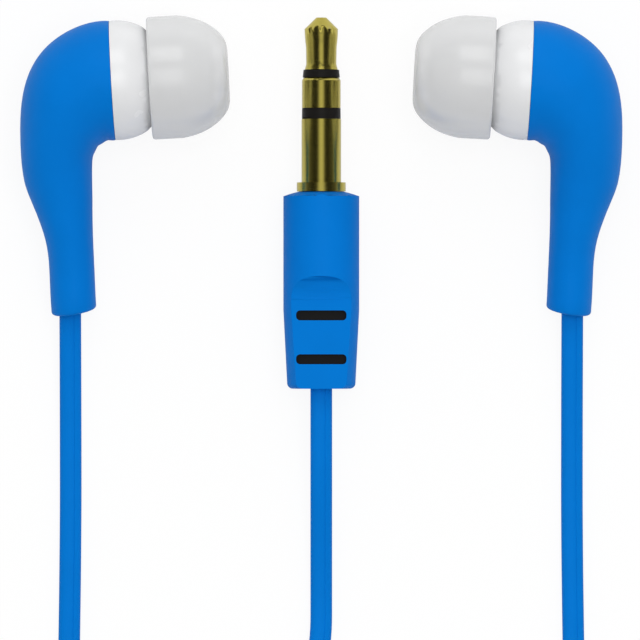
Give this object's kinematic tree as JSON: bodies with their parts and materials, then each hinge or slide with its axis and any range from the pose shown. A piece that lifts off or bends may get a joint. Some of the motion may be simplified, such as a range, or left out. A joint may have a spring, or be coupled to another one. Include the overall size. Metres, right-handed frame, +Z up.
{
  "type": "wired earphones",
  "caption": "Wired in-ear earphones with a flat Y-shaped cord, angled stems, soft ear tips and a gripped stereo plug",
  "frame": {"origin": "under the middle of the two earbuds, on the table they lie on", "axes": "+X from the left earbud to the right one, +Y from the put-away cord towards the earbuds and the plug's end, +Z up from the table"},
  "size_m": [0.055, 0.1188, 0.0108],
  "materials": {
    "blue_shell": "smooth",
    "white_shell": "smooth",
    "tip_silicone": "translucent",
    "blue_rubber": "satin",
    "cord_rubber": "satin",
    "cord": "satin",
    "tie": "matt",
    "gold": "polished",
    "black_plastic": "smooth",
    "pressed_steel": "satin",
    "screen": "woven",
    "magnet": "plated",
    "copper_coil": "wound",
    "copper_wire": "varnished",
    "film": "clear",
    "felt": "felted",
    "board": "lacquered",
    "brass_crimp": "plated"
  },
  "bodies": {
    "cord_set": {"left_coil_tie": "tie", "left_cord_branch": "cord", "left_cord_coil": "cord", "left_cord_flex": "cord", "left_cord_strand": "cord", "main_coil_tie": "tie", "main_cord_coil": "cord", "main_cord_lower": "cord", "main_cord_upper": "cord", "plug_cord_end": "cord", "plug_front_insulator": "black_plastic", "plug_grip": "blue_rubber", "plug_inner_mould": "black_plastic", "plug_lead_wires": "copper_wire", "plug_rear_insulator": "black_plastic", "plug_ring": "gold", "plug_sleeve": "gold", "plug_tip": "gold", "right_coil_tie": "tie", "right_cord_branch": "cord", "right_cord_coil": "cord", "right_cord_flex": "cord", "right_cord_strand": "cord", "y_split": "blue_rubber"},
    "left_earbud": {"left_rear_housing": "blue_shell", "left_front_cover": "white_shell", "left_nozzle_mesh": "screen", "left_driver_basket": "pressed_steel", "left_magnet_yoke": "pressed_steel", "left_magnet": "magnet", "left_top_plate": "pressed_steel", "left_driver_grille": "pressed_steel", "left_damping_ring": "felt", "left_terminal_board": "board", "left_lead_wires": "copper_wire", "left_cord_stop": "brass_crimp", "left_cord_tail": "cord", "left_cord_grommet": "cord_rubber"},
    "left_soft_tip": {"left_ear_tip": "tip_silicone"},
    "left_diaphragm_set": {"left_voice_coil": "copper_coil", "left_diaphragm": "film", "left_diaphragm_surround": "film"},
    "right_earbud": {"right_rear_housing": "blue_shell", "right_front_cover": "white_shell", "right_nozzle_mesh": "screen", "right_driver_basket": "pressed_steel", "right_magnet_yoke": "pressed_steel", "right_magnet": "magnet", "right_top_plate": "pressed_steel", "right_driver_grille": "pressed_steel", "right_damping_ring": "felt", "right_terminal_board": "board", "right_lead_wires": "copper_wire", "right_cord_stop": "brass_crimp", "right_cord_tail": "cord", "right_cord_grommet": "cord_rubber"},
    "right_soft_tip": {"right_ear_tip": "tip_silicone"},
    "right_diaphragm_set": {"right_voice_coil": "copper_coil", "right_diaphragm": "film", "right_diaphragm_surround": "film"}
  },
  "joints": [
    {"name": "left_cord_bend", "type": "hinge", "parent": "cord_set", "child": "left_earbud", "pos_m": [-0.02227, -0.01573, 0.00178], "axis": [0, 0, 1], "range_deg": [-8, 60], "deforming": ["left_cord_flex"]},
    {"name": "left_tip_slide", "type": "slide", "parent": "left_earbud", "child": "left_soft_tip", "axis": [0.9984, 0.0558, 0], "range_m": [0, 0.0055]},
    {"name": "left_diaphragm_stroke", "type": "slide", "parent": "left_earbud", "child": "left_diaphragm_set", "axis": [0.9984, 0.0558, 0], "range_m": [-0.00015, 0.00015], "stiffness_N_per_m": 300},
    {"name": "right_cord_bend", "type": "hinge", "parent": "cord_set", "child": "right_earbud", "pos_m": [0.02227, -0.01573, 0.00178], "axis": [0, 0, -1], "range_deg": [-8, 60], "deforming": ["right_cord_flex"]},
    {"name": "right_tip_slide", "type": "slide", "parent": "right_earbud", "child": "right_soft_tip", "axis": [-0.9984, 0.0558, 0], "range_m": [0, 0.0055]},
    {"name": "right_diaphragm_stroke", "type": "slide", "parent": "right_earbud", "child": "right_diaphragm_set", "axis": [-0.9984, 0.0558, 0], "range_m": [-0.00015, 0.00015], "stiffness_N_per_m": 300}
  ]
}
